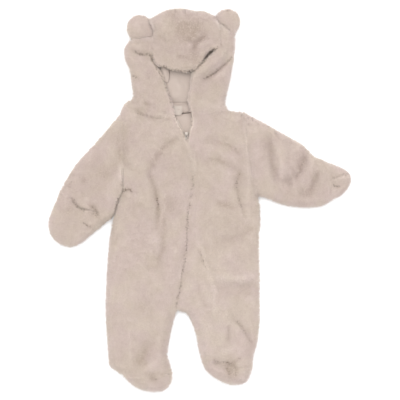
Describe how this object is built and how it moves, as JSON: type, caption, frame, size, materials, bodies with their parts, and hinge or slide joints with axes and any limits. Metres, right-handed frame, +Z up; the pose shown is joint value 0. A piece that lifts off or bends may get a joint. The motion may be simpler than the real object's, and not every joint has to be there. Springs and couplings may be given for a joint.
{
  "type": "hooded baby coverall",
  "caption": "Baby's hooded coverall of teddy fleece with ears, mittens and feet, laid flat on its back, front zip open at the neck",
  "frame": {"origin": "on the floor under the middle of the laid-out garment's box", "axes": "+Y runs up the garment from the feet to the crown, +X to the right as seen from above, +Z up from the floor"},
  "size_m": [0.5937, 0.7504, 0.0407],
  "materials": {
    "teddy_fleece": "polyester teddy fleece, 5 mm curled pile, pinkish beige, no sheen",
    "cotton_jersey": "smooth cotton jersey, slightly lighter than the fleece",
    "woven_label": "blank woven label, satin face",
    "zip_tape": "woven polyester zip tape with moulded coil teeth",
    "zip_metal": "zinc slider and pull, pale enamel, satin"
  },
  "bodies": {
    "garment": {"front_left": "teddy_fleece", "front_right": "teddy_fleece", "back_left": "teddy_fleece", "back_right": "teddy_fleece", "sleeve_left": "teddy_fleece", "sleeve_right": "teddy_fleece", "mitten_left": "teddy_fleece", "mitten_right": "teddy_fleece", "foot_left": "teddy_fleece", "foot_right": "teddy_fleece", "hood_crown": "teddy_fleece", "hood_side_left": "teddy_fleece", "hood_side_right": "teddy_fleece", "ear_left": "teddy_fleece", "ear_right": "teddy_fleece", "hood_lining": "cotton_jersey", "neck_band": "cotton_jersey", "neck_facing": "cotton_jersey", "neck_label": "woven_label", "zip_tape_left": "zip_tape", "zip_tape_right": "zip_tape", "zip_slider": "zip_metal"},
    "pull_tab": {"zip_pull": "zip_metal"}
  },
  "joints": [
    {"name": "pull_hinge", "type": "hinge", "parent": "garment", "child": "pull_tab", "pos_m": [-0.0246, 0.1274, 0.0194], "axis": [-1, 0, 0], "range_deg": [0, 170]}
  ]
}
